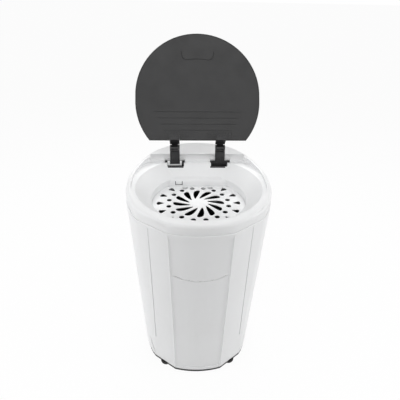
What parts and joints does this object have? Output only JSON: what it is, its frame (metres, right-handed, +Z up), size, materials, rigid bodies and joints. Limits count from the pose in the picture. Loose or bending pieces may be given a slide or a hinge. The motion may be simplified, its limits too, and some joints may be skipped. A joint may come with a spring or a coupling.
{
  "type": "laundry spin dryer",
  "caption": "Small top-loading spin dryer: tapered casing on feet, dished deck, perforated drum on a vertical shaft, loose swirl-patterned inner cover and a hinged lid.",
  "frame": {"origin": "middle of the outside box's lower face, at the floor, with the lid open", "axes": "+Z up, -Y towards the front, +X to the right seen from the front"},
  "size_m": [0.325, 0.415, 0.7577],
  "materials": {
    "white_plastic": "satin white moulding",
    "grey_plastic": "dark grey satin",
    "black_plastic": "black moulding",
    "rubber": "black rubber",
    "steel": "brushed",
    "cast_metal": "as cast"
  },
  "bodies": {
    "cabinet": {"outer_shell": "white_plastic", "top_deck": "white_plastic", "cover_catch": "white_plastic", "base_plate": "black_plastic", "hinge_bracket_left": "black_plastic", "hinge_bracket_right": "black_plastic", "hinge_pin_left": "steel", "hinge_pin_right": "steel", "interlock_plate": "white_plastic", "lid_switch": "black_plastic", "tub": "white_plastic", "tub_gasket": "rubber", "bearing_housing": "cast_metal", "bearing_upper": "steel", "bearing_lower": "steel", "shaft_seal": "rubber", "support_plate": "steel", "motor_housing": "cast_metal", "run_capacitor": "cast_metal", "drain_spout": "black_plastic", "drain_hose": "rubber", "cord_gland": "rubber", "buffer_front": "rubber", "buffer_rear_right": "rubber", "buffer_rear_left": "rubber", "foot_front_left": "rubber", "foot_front_right": "rubber", "foot_rear_left": "rubber", "foot_rear_right": "rubber"},
    "drum": {"drum_basket": "steel", "balance_ring": "white_plastic", "drum_hub": "cast_metal", "hub_nut": "steel", "drive_shaft": "steel", "brake_drum": "cast_metal"},
    "cover": {"inner_cover": "white_plastic"},
    "brake": {"brake_lever": "steel"},
    "lid": {"lid_panel": "grey_plastic", "lid_liner": "grey_plastic", "lid_arm_left": "black_plastic", "lid_arm_right": "black_plastic"}
  },
  "joints": [
    {"name": "lid_hinge", "type": "hinge", "parent": "cabinet", "child": "lid", "pos_m": [0, 0.08452, 0.5098], "axis": [-1, 0, 0], "range_deg": [-123, 0]},
    {"name": "drum_spin", "type": "hinge", "parent": "cabinet", "child": "drum", "pos_m": [0, -0.04498, 0.3], "axis": [0, 0, 1], "continuous": true},
    {"name": "inner_cover_lift", "type": "slide", "parent": "cabinet", "child": "cover", "axis": [0, 0, 1], "range_m": [0, 0.04]},
    {"name": "brake_release", "type": "hinge", "parent": "cabinet", "child": "brake", "pos_m": [0.044, -0.07898, 0.045], "axis": [0, 0, 1], "range_deg": [-5, 0]}
  ],
  "couplings": [
    {"joint": "brake_release", "follows": "lid_hinge", "ratio": 0.0406}
  ]
}
